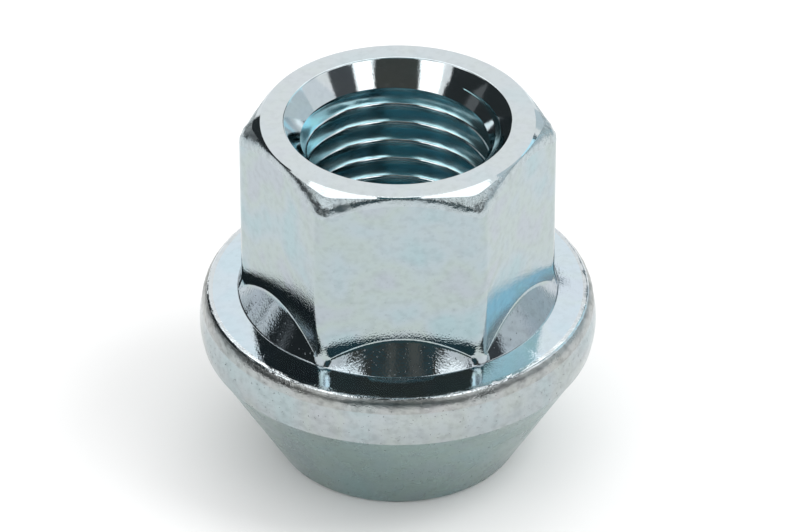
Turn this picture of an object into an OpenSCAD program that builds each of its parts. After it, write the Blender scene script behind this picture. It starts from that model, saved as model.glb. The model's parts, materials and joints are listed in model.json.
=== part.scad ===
// Wheel lug nut with a tapered seat, forged and threaded in one piece.
// From the top down: a hex for the wrench with a countersunk thread, a round foot that cuts a scallop
// into each flat, a collar with a rounded rim, and the tapered seat that centres the wheel.
// The nut stands on the narrow end of its seat, at z = 0, with its axis on Z and a flat facing -Y.

/* [Thread] */
// Nominal diameter of the thread
thread_d = 14; // [12:1:15]
// Pitch of the thread
thread_pitch = 1.5; // [1:0.25:2]

/* [Hex] */
// Height of the whole nut
nut_h = 26.2; // [22:0.2:36]
// Width across the flats
hex_af = 19; // [18:0.5:24]
// Radius that rounds the upright corners
hex_corner_r = 1.2; // [0.4:0.1:2.4]
// How far the edge of the flat top lies inside the flats
top_inset = 0.15; // [0.05:0.05:0.5]
// Slope of the chamfer on the top corners, from the horizontal
top_chamfer_deg = 36; // [20:1:55]

/* [Countersink] */
// How far the countersink's mouth reaches past the thread on each side
mouth_margin = 0.76; // [0.2:0.02:1]
// Full angle of the countersink
countersink_deg = 78; // [60:1:120]

/* [Foot] */
// How far the round foot reaches past the hex corners
foot_ledge = 0.25; // [0.1:0.05:0.8]
// Slope of the foot's flank, from the horizontal
foot_deg = 53; // [35:1:65]

/* [Collar] */
// Width of the shelf between the foot and the rim
shelf_w = 2.02; // [1:0.01:4]
// Rise of the shelf from the rim to the foot
shelf_rise = 0.2; // [0:0.05:0.6]
// Height of the collar's rim
rim_h = 3.6; // [2:0.1:6]
// Radius that rounds the rim's upper edge
rim_edge_r = 0.5; // [0.1:0.05:1]
// How far the rim bulges between its edges
rim_bulge = 0.17; // [0.05:0.01:0.5]

/* [Seat] */
// Full angle of the tapered seat
seat_deg = 60; // [50:1:90]
// How far the rim overhangs the seat
seat_step = 0.07; // [0.02:0.01:0.4]
// Width of the flat ring that the nut stands on
base_ring_w = 1.2; // [0.8:0.1:2]
// How far the chamfer under the thread reaches past the thread on each side
lead_in = 0.2; // [0.1:0.05:0.6]
// Size of the broken edge round the base
base_break = 0.3; // [0.1:0.05:0.6]

/* [Hidden] */
$fn = 96;

zinc = [0.73, 0.77, 0.79];
// Share of the pitch by which an internal thread's bore is smaller than its nominal diameter
bore_share = 1.0825;
// Number of facets in each rounded corner and edge
arc_steps = 8;
// Extra length of a cutter past the face that it opens
past = 1;

bore_r = (thread_d - bore_share * thread_pitch) / 2;
mouth_r = thread_d / 2 + mouth_margin;
lead_in_r = thread_d / 2 + lead_in;

flat_r = hex_af / 2;
corner_centre_r = (flat_r - hex_corner_r) / cos(30);
corner_r = corner_centre_r + hex_corner_r;
top_r = flat_r - top_inset;

foot_r = corner_r + foot_ledge;
shelf_r = foot_r + shelf_w;
rim_r = shelf_r + rim_edge_r;

seat_half = seat_deg / 2;
seat_r = rim_r - seat_step;
base_r = lead_in_r + base_ring_w;
seat_h = (seat_r - base_r) / tan(seat_half);

shelf_z = seat_h + rim_h;
foot_z = shelf_z + shelf_rise;
// The foot's flank runs on to the bore's wall inside the hex, so that the two are one solid
flank_top_z = foot_z + (foot_r - mouth_r) * tan(foot_deg);

// The rim's bulge is one arc between its lower edge and its rounded upper edge
bulge_h = rim_h - rim_edge_r;
bulge_r = (pow(bulge_h / 2, 2) + pow(rim_bulge, 2)) / (2 * rim_bulge);
bulge_half = asin(bulge_h / 2 / bulge_r);
bulge_centre = [rim_r + rim_bulge - bulge_r, seat_h + bulge_h / 2];
edge_centre = [shelf_r, shelf_z - rim_edge_r];

// Points along an arc from angle a to angle b; first = 1 leaves out a start that is drawn already
function arc(centre, r, a, b, first = 0) =
    [for (i = [first : arc_steps]) let (t = a + (b - a) * i / arc_steps) centre + r * [cos(t), sin(t)]];

// Outline across the hex
hex_outline = [
    for (k = [0 : 5])
        each arc(corner_centre_r * [cos(60 * k), sin(60 * k)], hex_corner_r, 60 * k - 30, 60 * k + 30)
];

// Outline of everything below the hex, from the axis outwards and up
turned_outline = concat(
    [
        [0, 0],
        [base_r - base_break, 0],
        [base_r + base_break * tan(seat_half), base_break],
        [seat_r, seat_h]
    ],
    arc(bulge_centre, bulge_r, -bulge_half, bulge_half),
    arc(edge_centre, rim_edge_r, 0, 90, first = 1),
    [
        [foot_r, foot_z],
        [mouth_r, flank_top_z],
        [0, flank_top_z]
    ]
);

// Seat, collar and foot, turned about the axis
module turned_body() {
    rotate_extrude() polygon(turned_outline);
}

// Hex with its top corners chamfered by a cone
module hex_head() {
    head_h = nut_h - seat_h;
    chamfer_r = corner_r + past;
    chamfer_h = (chamfer_r - top_r) * tan(top_chamfer_deg);
    intersection() {
        translate([0, 0, seat_h]) linear_extrude(head_h) polygon(hex_outline);
        rotate_extrude()
            polygon([[0, 0], [chamfer_r, 0], [chamfer_r, nut_h - chamfer_h], [top_r, nut_h], [0, nut_h]]);
    }
}

// Bore at the thread's crests, with its countersink on top and its lead-in chamfer below
module thread_bore() {
    countersink_h = (mouth_r - bore_r) / tan(countersink_deg / 2);
    lead_in_h = lead_in_r - bore_r;
    translate([0, 0, -past]) cylinder(h = nut_h + 2 * past, r = bore_r);
    translate([0, 0, nut_h - countersink_h])
        cylinder(h = 2 * countersink_h, r1 = bore_r, r2 = 2 * mouth_r - bore_r);
    translate([0, 0, -lead_in_h]) cylinder(h = 2 * lead_in_h, r1 = lead_in_r + lead_in_h, r2 = bore_r);
}

module lug_nut() {
    color(zinc)
        difference() {
            union() {
                turned_body();
                hex_head();
            }
            thread_bore();
        }
}

lug_nut();
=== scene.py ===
import collections
import json
import math

import bpy
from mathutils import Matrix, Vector, noise


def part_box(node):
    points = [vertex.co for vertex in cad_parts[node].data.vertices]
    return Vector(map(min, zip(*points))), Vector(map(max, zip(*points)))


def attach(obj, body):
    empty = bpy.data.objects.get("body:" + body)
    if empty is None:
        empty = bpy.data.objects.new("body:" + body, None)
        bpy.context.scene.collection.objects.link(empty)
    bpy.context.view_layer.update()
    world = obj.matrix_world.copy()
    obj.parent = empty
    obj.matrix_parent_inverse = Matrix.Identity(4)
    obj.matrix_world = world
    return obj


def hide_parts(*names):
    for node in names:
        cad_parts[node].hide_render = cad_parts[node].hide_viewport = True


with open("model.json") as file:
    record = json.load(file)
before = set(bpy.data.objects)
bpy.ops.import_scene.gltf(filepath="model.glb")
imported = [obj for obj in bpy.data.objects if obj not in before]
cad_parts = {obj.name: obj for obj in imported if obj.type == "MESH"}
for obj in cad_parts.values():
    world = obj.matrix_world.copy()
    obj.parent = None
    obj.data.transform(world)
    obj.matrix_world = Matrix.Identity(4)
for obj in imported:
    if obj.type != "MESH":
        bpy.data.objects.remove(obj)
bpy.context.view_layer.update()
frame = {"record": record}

bl_info = {
    "name": "Wheel lug nut",
    "version": (1, 0, 0),
    "blender": (4, 5, 0),
    "location": "3D View > Sidebar > Lug Nut",
    "description": "Models a zinc plated wheel lug nut with its thread, and a white studio round it",
    "category": "Object",
}

NODE = "lug_nut"
MM = 0.001
HALFWAY = 0.5

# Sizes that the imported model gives, in millimetres
nut_low, nut_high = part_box(NODE)
CAD_HEIGHT = (nut_high.z - nut_low.z) / MM
stud_thread = next(mount for mount in frame["record"]["mounts"] if mount["name"] == "stud_thread")
CAD_BORE_R = stud_thread["dims"]["r_mm"]


# Kinds of property

def length(name, description, millimetres):
    return bpy.props.FloatProperty(name=name, description=description, default=millimetres * MM,
                                   precision=5, subtype="DISTANCE", unit="LENGTH")


def number(name, description, default):
    return bpy.props.FloatProperty(name=name, description=description, default=default)


def angle(name, description, degrees):
    return bpy.props.FloatProperty(name=name, description=description, default=math.radians(degrees),
                                   subtype="ANGLE", unit="ROTATION")


def share(name, description, default):
    return bpy.props.FloatProperty(name=name, description=description, default=default,
                                   min=0.0, max=1.0, subtype="FACTOR")


def colour(name, description, default):
    return bpy.props.FloatVectorProperty(name=name, description=description, default=default,
                                         size=3, min=0.0, max=1.0, subtype="COLOR")


class NutSizes(bpy.types.PropertyGroup):
    """Sizes of the nut"""

    height: length("Height", "Height of the whole nut", CAD_HEIGHT)
    across_flats: length("Across flats", "Width of the hex across its flats", 19)
    corner: length("Corner", "Radius of the hex's upright corners", 1.2)
    top_inset: length("Top inset", "How far the chamfer's upper edge lies inside the flats", 0.15)
    chamfer: angle("Chamfer", "Slope of the chamfer on the top corners", 36)
    crown: length("Crown", "Width of the ring beside the chamfer that falls away from the flat top", 0.35)
    crown_slope: angle("Crown slope", "Slope of that ring", 5)
    brow: length("Brow", "How far the rounded edge over the flats reaches into the chamfer", 0.7)
    brow_flat: length("Brow on the flats", "How far the rounded edge reaches down the middle of a flat", 0.5)
    brow_corner: length("Brow on the corners", "How far the rounded edge reaches down a corner", 0.65)
    nick: length("Nicks", "Depth of the nicks in the rounded edge at the corners", 0.09)
    nick_size: length("Nick size", "Width of a nick", 0.45)
    burr: length("Burr", "Unevenness of the rim's rounded edge", 0.035)
    mouth: length("Mouth", "Radius of the countersink's mouth", 7.76)
    countersink: angle("Countersink", "Angle between the countersink's wall and the axis", 39)
    neck: length("Neck", "How high a corner flares out above the foot", 0.9)
    foot: length("Foot", "Radius of the round foot under the hex", 11.03)
    foot_height: length("Foot height", "Height at which the foot meets the shelf", 12.606)
    foot_slope: angle("Foot slope", "Slope of the foot's flank", 53)
    shelf: length("Shelf", "Radius of the collar's shelf, inside its rounded edge", 13.054)
    shelf_height: length("Shelf height", "Height of the shelf's outer edge", 12.406)
    rim: length("Rim", "Radius of the collar's rim at its edges", 13.554)
    glint: length("Glint", "How far the worn line reaches in from the rim", 0.46)
    glint_drop: length("Glint drop", "How far the worn line falls towards the rim", 0.39)
    rim_bulge: length("Rim bulge", "How far the rim bulges between its edges", 0.17)
    seat_height: length("Seat height", "Height of the tapered seat", 8.806)
    seat_step: length("Seat step", "How far the rim overhangs the seat", 0.07)
    seat: angle("Seat", "Angle between the tapered seat and the axis", 30)
    lead_in: length("Lead-in", "Radius of the chamfer under the thread", 7.2)
    thread: length("Thread", "Nominal radius of the thread, at its roots", 7)
    bore: length("Bore", "Radius of the thread at its crests", CAD_BORE_R)
    pitch: length("Pitch", "Pitch of the thread", 1.5)
    crest_share: share("Crest", "Share of the pitch that is flat at a crest", 0.13)
    root_share: share("Root", "Share of the pitch that is flat at a root", 0.22)
    crest_height: length("Crest height", "Height of a crest on the side away from the camera", 20.33)
    crest_bearing: angle("Crest bearing", "Angle round the axis at which that crest is measured", 92.7)


class NutFinish(bpy.types.PropertyGroup):
    """Colours of the zinc plating, with painted shade in the seat's colour"""

    turned: colour("Turned faces", "Colour of the top, the countersink and the crests", (0.63, 0.69, 0.72))
    shelf: colour("Shelf", "Colour of the shelf", (0.63, 0.73, 0.80))
    scallop: colour("Scallops", "Colour of the scallops", (0.44, 0.50, 0.54))
    flat: colour("Flats", "Colour of the forged flats", (0.42, 0.493, 0.523))
    rim: colour("Rim", "Colour of the rim", (0.425, 0.47, 0.485))
    lip: colour("Lip", "Colour of the rim's rounded upper edge", (0.43, 0.45, 0.45))
    glint: colour("Glint", "Colour of the worn line along the rim", (0.66, 0.71, 0.74))
    edge: colour("Edges", "Colour of the rounded edges over the flats", (0.46, 0.525, 0.55))
    # The seat's colour is the plating darkened to paint in the shade of the floor under the nut, which the
    # seat mirrors
    seat: colour("Seat", "Colour of the tapered seat", (0.275, 0.37, 0.37))
    thread: colour("Thread", "Colour of the thread", (0.40, 0.63, 0.69))
    blue: colour("Blue", "Bluish tint in the plating", (0.88, 1.0, 1.0))
    straw: colour("Straw", "Yellowish tint in the plating", (1.0, 1.0, 0.92))
    rose: colour("Rose", "Pinkish tint in the plating", (1.0, 0.95, 0.97))


class StudioSettings(bpy.types.PropertyGroup):
    """Camera and light"""

    distance: length("Distance", "Distance from the camera to the point that it looks at", 400)
    azimuth: angle("Azimuth", "Angle of the camera round the nut", -1.31)
    elevation: angle("Elevation", "Angle of the camera above the floor", 34.99)
    aim_height: length("Aim height", "Height of the point that the camera looks at", 14.106)
    aim_side: length("Aim side", "How far right of the axis the camera looks", 0.112)
    lens: number("Lens", "Focal length in millimetres on a 36 mm sensor", 261.45)
    floor: colour("Floor", "Colour of the floor", (0.95, 0.95, 0.95))
    smoke: colour("Smoke", "Colour of the dark cards round the camera", (0.064, 0.067, 0.062))
    ash: colour("Ash", "Colour of the grey cards beside the camera", (0.12, 0.125, 0.115))
    black: colour("Black", "Colour of the dark cards on the left", (0.026, 0.031, 0.033))
    dusk: colour("Dusk", "Colour of the dark cards on the right", (0.082, 0.087, 0.093))
    lead: colour("Lead", "Colour of the lead grey card on the left", (0.12, 0.125, 0.13))
    haze: colour("Haze", "Colour of the pale cards low behind the nut and on the right", (0.62, 0.70, 0.74))
    pale: colour("Pale", "Colour of the palest cards, on the right and low on the left", (0.82, 0.86, 0.89))
    slate: colour("Slate", "Colour of the dark cards high on the right", (0.10, 0.14, 0.16))
    sky: colour("Sky", "Colour of the blue card high on the right", (0.52, 0.68, 0.70))
    cyan: colour("Cyan", "Colour of the deeper blue cards on the right", (0.52, 0.78, 0.88))
    sky_strength: number("Sky strength", "Brightness of the blue cards", 1.45)
    glow_strength: number("Glow strength", "Brightness of the bright cards high in front", 1.7)
    teal: colour("Teal", "Colour of the dark cards overhead", (0.026, 0.095, 0.114))
    ink: colour("Ink", "Colour of the dark card under the camera", (0.045, 0.085, 0.098))
    glow: colour("Glow", "Colour of the bright cards high in front", (1.0, 1.0, 1.0))
    strip: colour("Strips", "Colour of the two strips overhead", (0.21, 0.37, 0.41))


# Shape of the nut

ZONES = ["turned", "seat", "rim", "lip", "glint", "edge", "shelf", "scallop", "flat", "thread"]
Corner = collections.namedtuple("Corner", "r z before after steps zone")
# How corners of the section are rounded: millimetres ahead of the corner and past it, and number of steps
Rounding = collections.namedtuple("Rounding", "before after steps")
ROUNDINGS = {
    "lead_in": Rounding(0.08, 0.08, 3),
    "base": Rounding(0.35, 0.35, 6),
    "seat": Rounding(0.04, 0.03, 2),
    "rim": Rounding(0.03, 0.05, 3),
    "lip": Rounding(0.6, 0.42, 14),
    "glint": Rounding(0.05, 0.1, 4),
    "foot": Rounding(0.07, 0.07, 4),
    "scallop": Rounding(0.2, 0.12, 9),
    "neck": Rounding(0.4, 0.62, 9),
    "crown": Rounding(0.3, 0.3, 5),
    "mouth": Rounding(0.08, 0.08, 4),
    "crest": Rounding(0.08, 0.34, 8),
    "root": Rounding(0.06, 0.06, 2),
    "crest_end": Rounding(0.05, 0.05, 4),
}
BROW_STEPS = 14
# Length that two roundings need between their corners, as a share of what they take up
ROOM = 1.04

SIDES = 6
SIXTH = 2 * math.pi / SIDES
# Number of columns round the nut, and how strongly they crowd towards the hex's corners
COLUMNS = 360
CORNER_CROWDING = 0.55
# Rows up the seat and up the rim
SEAT_ROWS = 5
RIM_ROWS = 10
# How far the rim's bulge stays above the seat and below the shelf, in millimetres
BULGE_ABOVE_SEAT = 0.1
BULGE_BELOW_SHELF = 1.1
# How far inside the thread's crests the blank's own wall lies, in millimetres
CORE_INSET = 0.7
# Share of the way to a corner at which the neck under it starts
NECK_START = 0.86
# Shares of the way up the lip, in along the shelf and up the chamfer at which the finish changes
LIP_SHARE = 0.76
SHELF_SHARE = 0.3
CHAMFER_SHARE = 0.62
# Share of the nicks' depth that is left away from the corners
LEAST_NICK = 0.3
# Vertices that are nearer than this are welded, in millimetres
WELD = 0.0005
# Angle between two faces past which their edge is sharp, in degrees
SHARP_ANGLE = 16
# Steps in a turn of the thread, turns of the rod past each end of the nut, and pitches in its pointed ends
TURN_STEPS = 96
SPARE_TURNS = 2
TIP_PITCHES = 2
# Share of the pitch by which the bright crests of the thread reach into it
CREST_DEPTH = 0.04


def between(a, b, t):
    return a + (b - a) * t


def smoothstep(t):
    """0 to 1, with a soft start and a soft end"""
    return t ** 2 * (3 - 2 * t)


def plain(r, z, zone):
    """A point of the section that isn't rounded"""
    return Corner(r, z, 0, 0, 0, zone)


def part_way(start, end, t, zone):
    """A plain point between two places of the section"""
    return plain(between(start[0], end[0], t), between(start[1], end[1], t), zone)


def rounded(r, z, rounding, zone):
    """A corner of the section that is eased from ahead of it to past it"""
    return Corner(r, z, rounding.before * MM, rounding.after * MM, rounding.steps, zone)


def hex_reach(sizes, turn):
    """Distance from the axis to the hex, at an angle of turn from the middle of a flat"""
    flat = sizes.across_flats / 2
    corner = sizes.corner
    turn = abs(turn)
    if flat * math.tan(turn) <= (flat - corner) * math.tan(SIXTH / 2):
        return flat / math.cos(turn)
    centre = (flat - corner) / math.cos(SIXTH / 2)
    off = SIXTH / 2 - turn
    return centre * math.cos(off) + math.sqrt(corner ** 2 - (centre * math.sin(off)) ** 2)


def corner_share(sizes, reach):
    """0 at the middle of a flat, 1 at a corner of the hex"""
    flat = sizes.across_flats / 2
    return (reach - flat) / (hex_reach(sizes, SIXTH / 2) - flat)


def seat_points(base, seat_top, seat_height):
    """Points up the tapered seat"""
    return [
        part_way((base, 0), (seat_top, seat_height), row / SEAT_ROWS, "seat")
        for row in range(1, SEAT_ROWS)
    ]


def rim_points(sizes):
    """Points up the rim's gentle bulge"""
    low = sizes.seat_height + BULGE_ABOVE_SEAT * MM
    high = sizes.shelf_height - BULGE_BELOW_SHELF * MM
    points = []
    for row in range(RIM_ROWS + 1):
        t = row / RIM_ROWS
        r = sizes.rim + sizes.rim_bulge * (1 - (2 * t - 1) ** 2)
        points.append(plain(r, between(low, high, t), "rim"))
    return points


def section(sizes, turn):
    """Corners of the nut's section, at an angle of turn from the middle of a flat. They run from the core's
    foot out along the base, up the outside, and in over the top to the core"""
    reach = hex_reach(sizes, turn)
    to_corner = corner_share(sizes, reach)

    core = sizes.bore - CORE_INSET * MM
    core_top = sizes.height - (sizes.mouth - core) / math.tan(sizes.countersink)
    seat_top = sizes.rim - sizes.seat_step
    base = seat_top - sizes.seat_height * math.tan(sizes.seat)

    shelf_slope = (sizes.foot_height - sizes.shelf_height) / (sizes.shelf - sizes.foot)
    rim_z = sizes.shelf_height - (sizes.rim - sizes.shelf) * shelf_slope
    lip_z = rim_z - sizes.glint_drop
    glint = sizes.rim - sizes.glint
    glint_z = rim_z + sizes.glint * shelf_slope

    neck = smoothstep(max(to_corner - NECK_START, 0) / (1 - NECK_START))
    scallop_z = sizes.foot_height + (sizes.foot - reach) * math.tan(sizes.foot_slope)
    scallop_z = between(scallop_z, sizes.foot_height + sizes.neck, neck)
    on_flat = ROUNDINGS["scallop"]
    on_corner = ROUNDINGS["neck"]
    scallop_rounding = Rounding(between(on_flat.before, on_corner.before, neck),
                                between(on_flat.after, on_corner.after, neck), on_flat.steps)

    top = sizes.across_flats / 2 - sizes.top_inset
    top_z = sizes.height - sizes.crown * math.tan(sizes.crown_slope)
    brow_z = top_z - (reach - top) * math.tan(sizes.chamfer)
    brow_drop = between(sizes.brow_flat, sizes.brow_corner, to_corner)
    brow_rounding = Rounding(brow_drop / MM, sizes.brow / MM, BROW_STEPS)
    return [
        plain(core, sizes.lead_in - core, "turned"),
        rounded(sizes.lead_in, 0, ROUNDINGS["lead_in"], "turned"),
        rounded(base, 0, ROUNDINGS["base"], "seat"),
        *seat_points(base, seat_top, sizes.seat_height),
        rounded(seat_top, sizes.seat_height, ROUNDINGS["seat"], "rim"),
        rounded(sizes.rim, sizes.seat_height, ROUNDINGS["rim"], "rim"),
        *rim_points(sizes),
        rounded(sizes.rim, lip_z, ROUNDINGS["lip"], "lip"),
        part_way((sizes.rim, lip_z), (glint, glint_z), LIP_SHARE, "glint"),
        rounded(glint, glint_z, ROUNDINGS["glint"], "glint"),
        part_way((sizes.rim, rim_z), (sizes.foot, sizes.foot_height), SHELF_SHARE, "shelf"),
        rounded(sizes.foot, sizes.foot_height, ROUNDINGS["foot"], "scallop"),
        rounded(reach, scallop_z, scallop_rounding, "flat"),
        part_way((reach, scallop_z), (reach, brow_z), HALFWAY, "flat"),
        rounded(reach, brow_z, brow_rounding, "edge"),
        part_way((reach, brow_z), (top, top_z), CHAMFER_SHARE, "turned"),
        plain(top, top_z, "turned"),
        rounded(top - sizes.crown, sizes.height, ROUNDINGS["crown"], "turned"),
        rounded(sizes.mouth, sizes.height, ROUNDINGS["mouth"], "turned"),
        part_way((sizes.mouth, sizes.height), (core, core_top), HALFWAY, "turned"),
        plain(core, core_top, "turned"),
    ]


def ease(corners):
    """Points of the section with its corners rounded, each with its zone and a share that is 1 in the middle
    of its rounding and 0 at the ends; roundings that would meet are made smaller"""
    places = [Vector((corner.r, corner.z)) for corner in corners]
    points = []
    for index, corner in enumerate(corners):
        here = places[index]
        if not corner.steps:
            points.append((here, corner.zone, 0))
            continue
        last = corners[index - 1]
        following = corners[(index + 1) % len(corners)]
        back = places[index - 1] - here
        ahead = places[(index + 1) % len(corners)] - here
        start = here + back * corner.before / max(back.length, (last.after + corner.before) * ROOM)
        end = here + ahead * corner.after / max(ahead.length, (corner.after + following.before) * ROOM)
        for step in range(corner.steps + 1):
            t = step / corner.steps
            point = start * (1 - t) ** 2 + here * 2 * t * (1 - t) + end * t ** 2
            points.append((point, corner.zone, math.sin(math.pi * t)))
    return points


def crowded(angle_round):
    """The angle of a column, moved so that columns crowd towards the hex's corners"""
    return angle_round - CORNER_CROWDING * math.sin(SIDES * angle_round) / SIDES


def turn_from_flat(angle_round):
    """The angle from the middle of the nearest flat"""
    return angle_round % SIXTH - SIXTH / 2


def spin_round(steps, angle_round=2 * math.pi):
    """Spins the mesh that is being edited round the axis"""
    bpy.ops.mesh.select_all(action="SELECT")
    bpy.ops.mesh.spin(steps=steps, angle=angle_round, center=(0, 0, 0), axis=(0, 0, 1))


def weld():
    """Joins the vertices that lie on top of each other in the mesh that is being edited"""
    bpy.ops.mesh.select_all(action="SELECT")
    bpy.ops.mesh.remove_doubles(threshold=WELD * MM)


def face_outwards():
    """Turns the faces of the mesh that is being edited outwards"""
    bpy.ops.mesh.select_all(action="SELECT")
    bpy.ops.mesh.normals_make_consistent(inside=False)


def turned_blank(sizes):
    """The nut without its thread: a section spun round the axis, whose columns then take the hex's form"""
    points = ease(section(sizes, 0))
    bpy.ops.object.select_all(action="DESELECT")
    bpy.ops.mesh.primitive_circle_add(vertices=len(points), radius=sizes.height)
    nut = bpy.context.object
    nut.name = "lug_nut_body"
    nut.data.name = nut.name
    ring = nut.data.attributes.new("ring", "INT", "POINT")
    for index, vertex in enumerate(nut.data.vertices):
        vertex.co = (points[index][0].x, 0, points[index][0].y)
        ring.data[index].value = index
    bpy.ops.object.mode_set(mode="EDIT")
    spin_round(COLUMNS)
    weld()
    bpy.ops.object.mode_set(mode="OBJECT")
    return nut


def forge_hex(nut, sizes):
    """Moves each column of the blank onto the nut's section at its angle, and makes its worn edges uneven"""
    rings = nut.data.attributes["ring"].data
    columns = {}
    for index, vertex in enumerate(nut.data.vertices):
        column = round(math.atan2(vertex.co.y, vertex.co.x) / (2 * math.pi) * COLUMNS) % COLUMNS
        if column not in columns:
            bearing = crowded(2 * math.pi * column / COLUMNS)
            columns[column] = bearing, ease(section(sizes, turn_from_flat(bearing)))
        bearing, points = columns[column]
        point, zone, middle = points[rings[index].value]
        vertex.co = (point.x * math.cos(bearing), point.x * math.sin(bearing), point.y)
        if zone in ("lip", "glint", "edge"):
            depth = sizes.burr
            if zone == "edge":
                depth = sizes.nick * max(corner_share(sizes, point.x), LEAST_NICK)
            outwards = Vector((math.cos(bearing), math.sin(bearing), 1)).normalized()
            vertex.co += outwards * depth * middle * noise.noise(vertex.co / sizes.nick_size)


def paint_zones(nut, sizes):
    """Gives each band of the blank the finish of its zone"""
    zones = [zone for point, zone, middle in ease(section(sizes, 0))]
    rings = nut.data.attributes["ring"].data
    last = len(zones) - 1
    for face in nut.data.polygons:
        found = {rings[index].value for index in face.vertices}
        lower = last if found == {0, last} else min(found)
        face.material_index = ZONES.index(zones[lower])


def thread_outline(sizes):
    """One pitch of the thread's outline, from the middle of a crest to the middle of the next"""
    crest = sizes.pitch * sizes.crest_share / 2
    root = sizes.pitch * sizes.root_share / 2
    middle = sizes.pitch / 2
    corners = [
        plain(sizes.bore, 0, "thread"),
        rounded(sizes.bore, crest, ROUNDINGS["crest"], "thread"),
        rounded(sizes.thread, middle - root, ROUNDINGS["root"], "thread"),
        rounded(sizes.thread, middle + root, ROUNDINGS["root"], "thread"),
        rounded(sizes.bore, sizes.pitch - crest, ROUNDINGS["crest_end"], "thread"),
        plain(sizes.bore, sizes.pitch, "thread"),
    ]
    return [point for point, *others in ease(corners)]


def thread_rod(sizes):
    """A closed threaded rod that runs past both ends of the nut, to cut its thread"""
    points = thread_outline(sizes)
    turns = math.ceil(sizes.height / sizes.pitch) + 2 * SPARE_TURNS
    bpy.ops.object.select_all(action="DESELECT")
    bpy.ops.mesh.primitive_circle_add(vertices=len(points) + 1, radius=sizes.thread)
    rod = bpy.context.object
    rod.name = "thread_rod"
    bpy.ops.object.mode_set(mode="EDIT")
    bpy.ops.mesh.select_all(action="DESELECT")
    bpy.ops.object.mode_set(mode="OBJECT")
    spare = len(points)
    for index, point in enumerate(points):
        rod.data.vertices[index].co = (point.x, 0, point.y)
    rod.data.vertices[spare].select = True
    bpy.ops.object.mode_set(mode="EDIT")
    bpy.ops.mesh.delete(type="VERT")
    bpy.ops.object.mode_set(mode="OBJECT")
    screw = rod.modifiers.new("Thread", "SCREW")
    screw.screw_offset = sizes.pitch
    screw.angle = 2 * math.pi
    screw.steps = screw.render_steps = TURN_STEPS
    screw.iterations = turns
    bpy.ops.object.modifier_apply(modifier=screw.name)
    bpy.ops.object.mode_set(mode="EDIT")
    weld()
    close_rod_ends(rod, sizes, turns)
    face_outwards()
    drop = sizes.crest_height - sizes.pitch * math.floor(sizes.crest_height / sizes.pitch)
    bpy.ops.transform.translate(value=(0, 0, drop - SPARE_TURNS * sizes.pitch))
    bpy.ops.object.mode_set(mode="OBJECT")
    for vertex in rod.data.vertices:
        x, y, z = vertex.co
        bearing = math.atan2(y, x) + sizes.crest_bearing
        reach = math.hypot(x, y)
        vertex.co = (reach * math.cos(bearing), reach * math.sin(bearing), z)
    return rod


def close_rod_ends(rod, sizes, turns):
    """Closes each open end of the rod to a point on the axis"""
    middle = sizes.pitch * turns / 2
    for end in (-1, 1):
        bpy.ops.mesh.select_all(action="DESELECT")
        bpy.ops.mesh.select_non_manifold(extend=False, use_wire=False, use_boundary=True,
                                         use_multi_face=False, use_non_contiguous=False, use_verts=False)
        bpy.ops.object.mode_set(mode="OBJECT")
        for vertex in rod.data.vertices:
            if (vertex.co.z - middle) * end < 0:
                vertex.select = False
        for edge in rod.data.edges:
            edge.select = all(rod.data.vertices[index].select for index in edge.vertices) and edge.select
        for face in rod.data.polygons:
            face.select = False
        bpy.ops.object.mode_set(mode="EDIT")
        tip = (0, 0, TIP_PITCHES * end * sizes.pitch)
        bpy.ops.mesh.extrude_edges_move(TRANSFORM_OT_translate={"value": tip})
        bpy.ops.mesh.merge(type="CENTER")


def paint_rod(rod, nut, sizes):
    """Gives the rod the finishes that the thread takes over from it, with bright crests"""
    for zone in ("thread", "turned"):
        rod.data.materials.append(nut.data.materials[ZONES.index(zone)])
    for face in rod.data.polygons:
        on_crest = face.center.xy.length < sizes.bore + sizes.pitch * CREST_DEPTH
        face.material_index = int(on_crest)


def cut_thread(nut, rod):
    """Cuts the rod out of the nut, and removes the rod"""
    bpy.ops.object.select_all(action="DESELECT")
    nut.select_set(True)
    bpy.context.view_layer.objects.active = nut
    cut = nut.modifiers.new("Thread", "BOOLEAN")
    cut.operation = "DIFFERENCE"
    cut.solver = "EXACT"
    cut.object = rod
    bpy.ops.object.modifier_apply(modifier=cut.name)
    bpy.data.objects.remove(rod)


def smooth(nut):
    """Smooth shading whose normals follow the large faces and break at sharp edges"""
    bpy.ops.object.shade_smooth_by_angle(angle=math.radians(SHARP_ANGLE))
    weigh = nut.modifiers.new("Normals", "WEIGHTED_NORMAL")
    weigh.keep_sharp = True
    bpy.ops.object.modifier_apply(modifier=weigh.name)


# Finish of the nut

def add_node(tree, kind, inputs=None, **settings):
    """A new node with its settings; each input is a value or the socket that feeds it"""
    made = tree.nodes.new(kind)
    for setting, value in settings.items():
        setattr(made, setting, value)
    for name, value in (inputs or {}).items():
        if isinstance(value, bpy.types.NodeSocket):
            tree.links.new(value, made.inputs[name])
        else:
            made.inputs[name].default_value = value
    return made


def new_material(name):
    material = bpy.data.materials.new(name)
    material.use_nodes = True
    material.node_tree.nodes.clear()
    return material, material.node_tree


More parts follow.
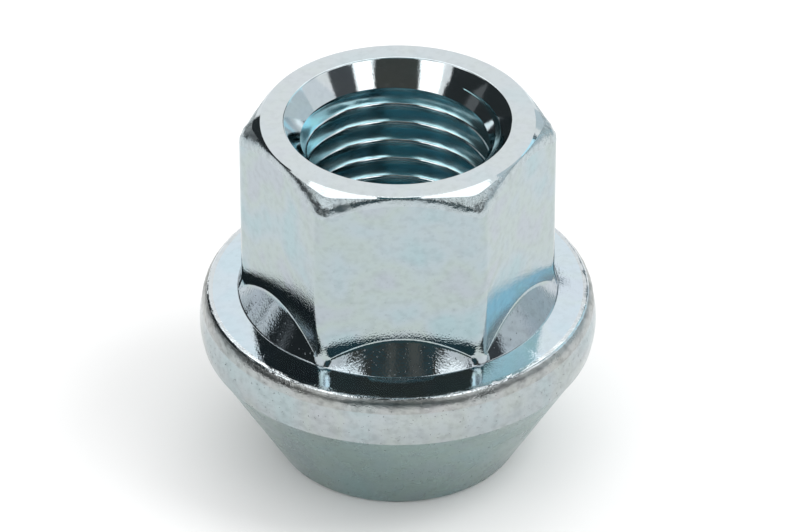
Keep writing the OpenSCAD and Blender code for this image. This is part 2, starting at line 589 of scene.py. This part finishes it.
# Gloss of each zone: roughness, height of the grain and of the waves in micrometres, and strength of the
# tints, the mottle and the specks
Gloss = collections.namedtuple("Gloss", "rough grain waves tint mottle specks")
GLOSS = {
    "turned": Gloss(0.06, 2.0, 1.0, 0.3, 0.05, 0.1),
    "shelf": Gloss(0.05, 4.0, 2.0, 0.4, 0.05, 0.1),
    "scallop": Gloss(0.05, 6.0, 4.0, 0.3, 0.14, 0.8),
    "flat": Gloss(0.05, 9.0, 3.0, 0.9, 0.1, 0.2),
    "edge": Gloss(0.24, 26.0, 22.0, 0.3, 0.2, 0.3),
    "lip": Gloss(0.3, 26.0, 20.0, 0.4, 0.3, 0.5),
    "glint": Gloss(0.08, 14.0, 12.0, 0.2, 0.1, 0.3),
    "rim": Gloss(0.18, 11.0, 6.0, 0.6, 0.16, 0.5),
    "seat": Gloss(0.24, 4.0, 2.0, 0.7, 0.08, 0.4),
    "thread": Gloss(0.16, 0.0, 0.0, 0.2, 0.05, 0.0),
}
MICROMETRE = 1e-6
# Patterns in the plating: size of a patch in millimetres, detail, and how far it is drawn out along each axis
Pattern = collections.namedtuple("Pattern", "size detail stretch", defaults=[(1, 1, 1)])
TINTS = Pattern(4.5, 2.0)
MOTTLE = Pattern(0.5, 6.0, (1.1, 1.1, 0.9))
SPECKS = Pattern(0.2, 1.0)
CLOUDS = Pattern(2.5, 3.0)
WAVES = Pattern(0.6, 2.0)
GRAIN = Pattern(0.14, 2.0)
# Values of a pattern at which each tint is full, the mottle fades, the specks set in and the roughness rises
TINT_STOPS = (0.34, 0.45, 0.54, 0.64)
MOTTLE_STOPS = (0.32, 0.55)
SPECK_STOPS = (0.68, 0.74)
CLOUD_STOPS = (0.3, 0.7)
# Least and most roughness as shares of the zone's own, what a speck adds to it, and the tone left in a speck
LEAST_ROUGH = 0.75
MOST_ROUGH = 1.35
SPECK_ROUGH = 0.6
SPECK_SHADE = 0.6
# A Mix node's sockets for colours: factor, the two colours, and the result
MIX_INPUTS = (0, 6, 7)
MIX_RESULT = 2


def mixed(tree, kind, factor, below, above):
    """Two colours mixed by the mode kind"""
    mix = add_node(tree, "ShaderNodeMix", data_type="RGBA", blend_type=kind)
    for index, value in zip(MIX_INPUTS, (factor, below, above)):
        if isinstance(value, bpy.types.NodeSocket):
            tree.links.new(value, mix.inputs[index])
        else:
            mix.inputs[index].default_value = value
    return mix.outputs[MIX_RESULT]


def ramp(tree, value, stops, tones):
    """Colours by a value: each tone is full at its stop"""
    made = add_node(tree, "ShaderNodeValToRGB", {"Fac": value})
    elements = made.color_ramp.elements
    while len(elements) < len(stops):
        elements.new(1.0)
    for element, stop, tone in zip(elements, stops, tones):
        element.position = stop
        element.color = (*tone, 1)
    return made.outputs["Color"]


def texture(tree, place, pattern):
    """Noise in one of the plating's patterns"""
    scale = add_node(tree, "ShaderNodeMapping", {"Vector": place, "Scale": [1 / s for s in pattern.stretch]})
    made = add_node(tree, "ShaderNodeTexNoise", {
        "Vector": scale.outputs["Vector"], "Scale": 1 / (pattern.size * MM), "Detail": pattern.detail,
    })
    return made.outputs["Fac"]


def grey(level):
    return (level, level, level)


def zinc_plate(name, finish, tone, gloss):
    """Zinc plated steel: faint tints in large patches, a fine mottle, specks, and a grain that breaks up the
    edges of what it mirrors"""
    material, tree = new_material(name)
    place = add_node(tree, "ShaderNodeTexCoord").outputs["Object"]
    tones = (finish.blue, grey(1), finish.straw, finish.rose)
    tints = ramp(tree, texture(tree, place, TINTS), TINT_STOPS, tones)
    tinted = mixed(tree, "MULTIPLY", gloss.tint, (*tone, 1), tints)
    mottle = ramp(tree, texture(tree, place, MOTTLE), MOTTLE_STOPS, (grey(1 - gloss.mottle), grey(1)))
    mottled = mixed(tree, "MULTIPLY", 1.0, tinted, mottle)
    specks = ramp(tree, texture(tree, place, SPECKS), SPECK_STOPS, (grey(0), grey(1)))
    shades = ramp(tree, specks, (0, 1), (grey(1), grey(SPECK_SHADE)))
    speckled = mixed(tree, "MULTIPLY", gloss.specks, mottled, shades)
    rough = add_node(tree, "ShaderNodeMapRange", {
        "Value": texture(tree, place, CLOUDS), "From Min": CLOUD_STOPS[0], "From Max": CLOUD_STOPS[1],
        "To Min": LEAST_ROUGH * gloss.rough, "To Max": MOST_ROUGH * gloss.rough,
    })
    pitted = add_node(tree, "ShaderNodeMath", {
        0: specks, 1: gloss.specks * SPECK_ROUGH, 2: rough.outputs["Result"],
    }, operation="MULTIPLY_ADD")
    waves = add_node(tree, "ShaderNodeBump", {
        "Height": texture(tree, place, WAVES), "Distance": gloss.waves * MICROMETRE, "Strength": 1.0,
    })
    grain = add_node(tree, "ShaderNodeBump", {
        "Height": texture(tree, place, GRAIN), "Distance": gloss.grain * MICROMETRE, "Strength": 1.0,
        "Normal": waves.outputs["Normal"],
    })
    shader = add_node(tree, "ShaderNodeBsdfPrincipled", {
        "Base Color": speckled, "Metallic": 1.0, "Roughness": pitted.outputs["Value"],
        "Normal": grain.outputs["Normal"],
    })
    add_node(tree, "ShaderNodeOutputMaterial", {"Surface": shader.outputs["BSDF"]})
    return material


class LUGNUT_OT_forge(bpy.types.Operator):
    """Model the nut, cut its thread and plate it"""

    bl_idname = "lugnut.forge"
    bl_label = "Forge the lug nut"

    def execute(self, context):
        sizes = context.scene.lug_nut_sizes
        finish = context.scene.lug_nut_finish
        nut = turned_blank(sizes)
        forge_hex(nut, sizes)
        for zone in ZONES:
            tone = getattr(finish, zone)
            nut.data.materials.append(zinc_plate("zinc_" + zone, finish, tone, GLOSS[zone]))
        paint_zones(nut, sizes)
        nut.data.attributes.remove(nut.data.attributes["ring"])
        bpy.ops.object.mode_set(mode="EDIT")
        face_outwards()
        bpy.ops.object.mode_set(mode="OBJECT")
        rod = thread_rod(sizes)
        paint_rod(rod, nut, sizes)
        cut_thread(nut, rod)
        smooth(nut)
        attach(nut, "root")
        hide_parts(NODE)
        return {"FINISHED"}


# Studio

# Size of the floor, and distances of the cards from the nut, in metres
FLOOR_SIZE = 8
FAR = 0.7
NEAR = 0.68
NEAREST = 0.66
# Steps in a curved card
CARD_STEPS = 24
# Height of the point that the lamps face, in millimetres
LAMP_AIM = 15
# Width of the camera's sensor in millimetres, and the share of its distance within which it sees nothing
SENSOR = 36
CLIP_SHARE = 0.01


def direction(azimuth, elevation):
    """Unit vector from the nut towards a place in the studio; azimuth 0 is the camera's side"""
    return Vector((math.sin(azimuth) * math.cos(elevation), -math.cos(azimuth) * math.cos(elevation),
                   math.sin(elevation)))


def white_world():
    """A plain white surround"""
    world = bpy.data.worlds.new("studio")
    bpy.context.scene.world = world
    world.use_nodes = True
    tree = world.node_tree
    tree.nodes.clear()
    back = add_node(tree, "ShaderNodeBackground", {"Color": (1, 1, 1, 1), "Strength": 1.0})
    add_node(tree, "ShaderNodeOutputWorld", {"Surface": back.outputs["Background"]})


def lay_floor(studio):
    """A pale floor that keeps the nut's shadow"""
    bpy.ops.object.select_all(action="DESELECT")
    bpy.ops.mesh.primitive_plane_add(size=FLOOR_SIZE)
    floor = bpy.context.object
    floor.name = "floor"
    material, tree = new_material("floor_white")
    paint = add_node(tree, "ShaderNodeBsdfDiffuse", {"Color": (*studio.floor, 1)})
    add_node(tree, "ShaderNodeOutputMaterial", {"Surface": paint.outputs["BSDF"]})
    floor.data.materials.append(material)


def card_paint(name, tone, strength):
    """An even tone, whatever light falls on the card"""
    material, tree = new_material(name)
    shader = add_node(tree, "ShaderNodeEmission", {"Color": (*tone, 1), "Strength": strength})
    add_node(tree, "ShaderNodeOutputMaterial", {"Surface": shader.outputs["Emission"]})
    return material


def curved_card(card, paint):
    """A curved card that stands round the nut, which only reflections see"""
    left, right = (math.radians(value) for value in card.azimuths)
    low, high = (card.distance * math.tan(math.radians(value)) for value in card.elevations)
    bpy.ops.object.select_all(action="DESELECT")
    bpy.ops.mesh.primitive_plane_add(size=card.distance)
    made = bpy.context.object
    bpy.ops.object.mode_set(mode="EDIT")
    bpy.ops.mesh.merge(type="CENTER")
    bpy.ops.mesh.select_all(action="SELECT")
    bpy.ops.transform.translate(value=direction(left, 0) * card.distance + Vector((0, 0, low)))
    bpy.ops.mesh.extrude_vertices_move(TRANSFORM_OT_translate={"value": (0, 0, high - low)})
    spin_round(CARD_STEPS, left - right)
    bpy.ops.object.mode_set(mode="OBJECT")
    hide_from_view(made, card.name, paint)


def top_card(card, paint):
    """A flat card that hangs over the nut, which only reflections see"""
    left, right = (card.height * math.tan(math.radians(value)) for value in card.sides)
    front, back = (card.height * math.tan(math.radians(value)) for value in card.depths)
    bpy.ops.object.select_all(action="DESELECT")
    bpy.ops.mesh.primitive_plane_add(size=1)
    made = bpy.context.object
    bpy.ops.object.mode_set(mode="EDIT")
    bpy.ops.mesh.select_all(action="SELECT")
    bpy.ops.transform.resize(value=(right - left, back - front, 1))
    bpy.ops.transform.translate(value=((left + right) / 2, (front + back) / 2, card.height))
    bpy.ops.object.mode_set(mode="OBJECT")
    hide_from_view(made, card.name, paint)


def hide_from_view(card, name, paint):
    """Leaves a card for reflections alone"""
    card.name = name
    card.data.materials.append(paint)
    card.visible_camera = False
    card.visible_diffuse = False
    card.visible_shadow = False


def hang_lamp(box):
    """An area lamp that faces the nut; its brightness is what a mirror shows of it"""
    aim = Vector((0, 0, LAMP_AIM * MM))
    place = aim + direction(math.radians(box.azimuth), math.radians(box.elevation)) * box.distance
    bpy.ops.object.light_add(type="AREA", location=place)
    lamp = bpy.context.object
    lamp.name = box.name
    lamp.rotation_euler = (aim - place).to_track_quat("-Z", "Y").to_euler()
    lamp.data.shape = "RECTANGLE"
    lamp.data.size = box.width
    lamp.data.size_y = box.depth
    lamp.data.energy = box.brightness * math.pi * box.width * box.depth
    return lamp


def place_camera(studio):
    """Sets the camera and points it at the nut"""
    aim = Vector((studio.aim_side * math.cos(studio.azimuth), studio.aim_side * math.sin(studio.azimuth),
                  studio.aim_height))
    back = direction(studio.azimuth, studio.elevation)
    bpy.ops.object.camera_add(location=aim + back * studio.distance)
    camera = bpy.context.object
    camera.rotation_euler = (-back).to_track_quat("-Z", "Y").to_euler()
    camera.data.sensor_width = SENSOR
    camera.data.lens = studio.lens
    camera.data.clip_start = studio.distance * CLIP_SHARE
    bpy.context.scene.camera = camera


# Lower edge of the cards that reach the floor, in degrees
CARD_FOOT = -0.5
# Cards that stand round the nut: tone, degrees round from the camera and up from the floor, and distance
RoundCard = collections.namedtuple("RoundCard", "name tone azimuths elevations distance", defaults=[FAR])
ROUND_CARDS = [
    RoundCard("card_camera", "smoke", (-29.5, 30), (38, 62)),
    RoundCard("card_camera_low", "ink", (-27.5, 29), (3, 38)),
    RoundCard("card_camera_ash", "ash", (-9.6, -3.4), (30, 45), NEAR),
    RoundCard("card_camera_ash_right", "ash", (7, 16.5), (30, 45), NEAR),
    RoundCard("card_front_left", "smoke", (-38.5, -27.5), (3, 41.5)),
    RoundCard("card_front_left_low", "smoke", (-60, -38.5), (3, 25)),
    RoundCard("card_front_right", "smoke", (29, 35), (3, 41)),
    RoundCard("card_front_right_low", "smoke", (35, 51.5), (3, 25)),
    RoundCard("card_left", "black", (-97, -60), (1, 40)),
    RoundCard("card_left_high", "black", (-97, -64), (40, 52)),
    RoundCard("card_left_side", "black", (-110.5, -97), (16, 41)),
    RoundCard("card_left_grey", "lead", (-103, -86), (21, 29), NEAR),
    RoundCard("card_right", "dusk", (51.5, 78), (8, 46)),
    RoundCard("card_right_top", "dusk", (62, 92), (46, 53)),
    RoundCard("card_right_low", "haze", (78, 152), (CARD_FOOT, 15)),
    RoundCard("card_right_middle", "pale", (78, 108), (15, 33)),
    RoundCard("card_right_mist", "haze", (100, 123), (33, 38)),
    RoundCard("card_right_sky_high", "sky", (123, 152), (33, 50)),
    RoundCard("card_right_turn", "haze", (100, 123), (38, 47)),
    RoundCard("card_right_step", "haze", (108, 124), (15, 24)),
    RoundCard("card_right_blue_low", "cyan", (124, 134), (15, 24)),
    RoundCard("card_right_blue", "cyan", (108, 134), (24, 33)),
    RoundCard("card_right_shade", "slate", (134, 165), (19, 33)),
    RoundCard("card_right_high", "slate", (106, 123), (47, 60)),
    RoundCard("card_right_high_back", "slate", (123, 152), (50, 60)),
]
# Cards that hang over the nut: tone, degrees from the vertical to the right and to the back, and height
TopCard = collections.namedtuple("TopCard", "name tone sides depths height", defaults=[FAR])
TOP_CARDS = [
    TopCard("card_top", "teal", (-28, 26), (-24, 8)),
    TopCard("card_top_left", "teal", (-36, -24), (7, 24)),
    TopCard("card_top_right", "teal", (24, 36), (7, 24)),
    TopCard("strip_left", "strip", (-9.7, -1.1), (-9, 8), NEAR),
    TopCard("strip_right", "strip", (8.5, 16), (-9, 8), NEAR),
    TopCard("glow_left", "glow", (-20, -10), (-22, -9.5), NEAREST),
    TopCard("glow_left_side", "glow", (-46, -20), (-18, -3), NEAREST),
    TopCard("glow_left_far", "glow", (-52, -32), (-3, 5), NEAREST),
    TopCard("glow_right", "glow", (10, 20), (-22, -9.5), NEAREST),
    TopCard("glow_right_side", "glow", (20, 40), (-18, -3), NEAREST),
    TopCard("glow_right_far", "glow", (32, 52), (-3, 5), NEAREST),
]
# Edge between the dark cards on the left and the pale ones below them: its two ends in degrees, its steps,
# and how much faster than evenly it falls
LEFT_START = (-97, 17)
LEFT_END = (-151, 2)
LEFT_STEPS = 8
LEFT_FALL = 1.25
# Upper edge of those dark cards, and the first step that has one, past card_left_side
LEFT_TOP = 60
LEFT_FIRST = 2
# Lamps: degrees round from the camera and up from the floor, then distance, width and depth in metres
Softbox = collections.namedtuple("Softbox", "name azimuth elevation distance width depth brightness")
SOFTBOXES = [
    Softbox("softbox_left", -41.5, 45, 0.7, 0.235, 0.17, 1.1),
    Softbox("softbox_right", 39, 45, 0.7, 0.19, 0.2, 1.05),
    Softbox("softbox_back", 180, 52, 0.7, 0.5, 0.16, 1.35),
]
KEY = Softbox("key_right", 75, 58, 0.6, 0.2, 0.2, 6)


def left_cards():
    """The cards on the left whose shared edge falls in steps"""
    cards = []
    for step in range(LEFT_STEPS):
        right, left = (between(LEFT_START[0], LEFT_END[0], t / LEFT_STEPS) for t in (step, step + 1))
        fall = min((step + HALFWAY) / LEFT_STEPS * LEFT_FALL, 1)
        edge = between(LEFT_START[1], LEFT_END[1], fall)
        if step >= LEFT_FIRST:
            cards.append(RoundCard("card_left_%d" % step, "black", (left, right), (edge, LEFT_TOP)))
        cards.append(RoundCard("card_left_low_%d" % step, "pale", (left, right), (CARD_FOOT, edge)))
    return cards


class LUGNUT_OT_stage(bpy.types.Operator):
    """Lay the floor, hang the lamps and cards and set the camera"""

    bl_idname = "lugnut.stage"
    bl_label = "Set the studio"

    def execute(self, context):
        studio = context.scene.lug_nut_studio
        white_world()
        lay_floor(studio)
        round_cards = ROUND_CARDS + left_cards()
        strengths = {"sky": studio.sky_strength, "cyan": studio.sky_strength, "glow": studio.glow_strength}
        paints = {}
        for tone in sorted({card.tone for card in round_cards + TOP_CARDS}):
            paints[tone] = card_paint("card_" + tone, getattr(studio, tone), strengths.get(tone, 1.0))
        for card in round_cards:
            curved_card(card, paints[card.tone])
        for card in TOP_CARDS:
            top_card(card, paints[card.tone])
        for box in SOFTBOXES:
            hang_lamp(box)
        key = hang_lamp(KEY)
        key.visible_glossy = False
        place_camera(studio)
        context.scene.view_settings.view_transform = "Standard"
        return {"FINISHED"}


class LUGNUT_PT_panel(bpy.types.Panel):
    """Sizes, finish and studio of the lug nut"""

    bl_idname = "LUGNUT_PT_panel"
    bl_label = "Lug Nut"
    bl_space_type = "VIEW_3D"
    bl_region_type = "UI"
    bl_category = "Lug Nut"

    def draw(self, context):
        layout = self.layout
        for group in GROUPS:
            box = layout.box()
            settings = getattr(context.scene, group)
            for name in settings.__annotations__:
                box.prop(settings, name)
        for operator in (LUGNUT_OT_forge, LUGNUT_OT_stage):
            layout.operator(operator.bl_idname)


GROUPS = {
    "lug_nut_sizes": NutSizes,
    "lug_nut_finish": NutFinish,
    "lug_nut_studio": StudioSettings,
}
CLASSES = [NutSizes, NutFinish, StudioSettings, LUGNUT_OT_forge, LUGNUT_OT_stage, LUGNUT_PT_panel]


def register():
    for entry in CLASSES:
        bpy.utils.register_class(entry)
    for name, group in GROUPS.items():
        setattr(bpy.types.Scene, name, bpy.props.PointerProperty(type=group))


def unregister():
    for name in GROUPS:
        delattr(bpy.types.Scene, name)
    for entry in reversed(CLASSES):
        bpy.utils.unregister_class(entry)


def main():
    register()
    bpy.ops.lugnut.forge()
    bpy.ops.lugnut.stage()


if __name__ == "__main__":
    main()
